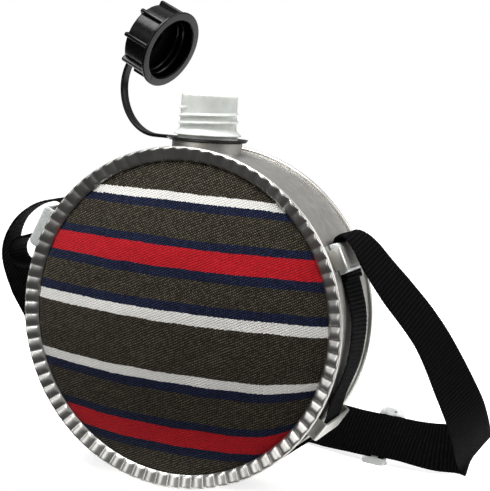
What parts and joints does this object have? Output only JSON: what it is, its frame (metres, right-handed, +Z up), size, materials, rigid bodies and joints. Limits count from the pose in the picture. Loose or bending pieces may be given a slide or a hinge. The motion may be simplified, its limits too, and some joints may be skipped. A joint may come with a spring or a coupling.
{
  "type": "round carrying canteen",
  "caption": "Round metal-banded canteen with padded fabric faces, an open threaded neck, a tethered screw cap and a webbing shoulder strap.",
  "frame": {"origin": "on the ground at the middle of the rim's foot, straight under the neck", "axes": "+Z up along the neck; X across the round faces, towards the right seen from the front; Y from the front face to the back face"},
  "size_m": [0.2964, 0.1603, 0.2819],
  "materials": {
    "bottle_plastic": "translucent natural plastic",
    "steel": "bright rolled sheet",
    "tinplate": "bright crimped tinplate",
    "blanket": "woven striped blanket cloth",
    "felt": "pressed felt",
    "webbing": "ribbed webbing",
    "clear_plastic": "milky translucent",
    "tether_plastic": "soft moulded",
    "cap_plastic": "moulded",
    "liner": "soft gasket"
  },
  "bodies": {
    "canteen": {"bottle": "bottle_plastic", "bottle_neck": "bottle_plastic", "rim_band": "steel", "front_fluted_ring": "tinplate", "back_fluted_ring": "tinplate", "front_blanket": "blanket", "back_blanket": "blanket", "front_felt_pad": "felt", "back_felt_pad": "felt", "rim_felt_strip": "felt", "neck_collar": "steel", "clip_upper_right": "steel", "clip_upper_left": "steel", "clip_lower_right": "steel", "clip_lower_left": "steel", "keeper_right": "clear_plastic", "keeper_left": "clear_plastic", "rim_strap": "webbing", "shoulder_strap_right": "webbing", "shoulder_strap_left": "webbing"},
    "tether_ring": {"retainer_ring": "tether_plastic"},
    "tether": {"tether_strap": "tether_plastic"},
    "cap": {"cap_shell": "cap_plastic", "cap_liner": "liner", "cap_button": "cap_plastic"},
    "slide": {"strap_slide": "clear_plastic"}
  },
  "joints": [
    {"name": "tether_swivel", "type": "hinge", "parent": "canteen", "child": "tether_ring", "pos_m": [0, 0, 0.1992], "axis": [0, 0, 1], "continuous": true},
    {"name": "tether_flex", "type": "hinge", "parent": "tether_ring", "child": "tether", "pos_m": [-0.02812, 0.00822, 0.19925], "axis": [0.2807, 0.9598, 0], "range_deg": [-20, 25]},
    {"name": "cap_spin", "type": "hinge", "parent": "tether", "child": "cap", "pos_m": [-0.04686, 0.01215, 0.25742], "axis": [0.9003, -0.1815, -0.3955], "continuous": true},
    {"name": "slide_travel", "type": "slide", "parent": "canteen", "child": "slide", "axis": [-0.9785, 0.2063, 0], "range_m": [-0.005, 0.005]}
  ]
}
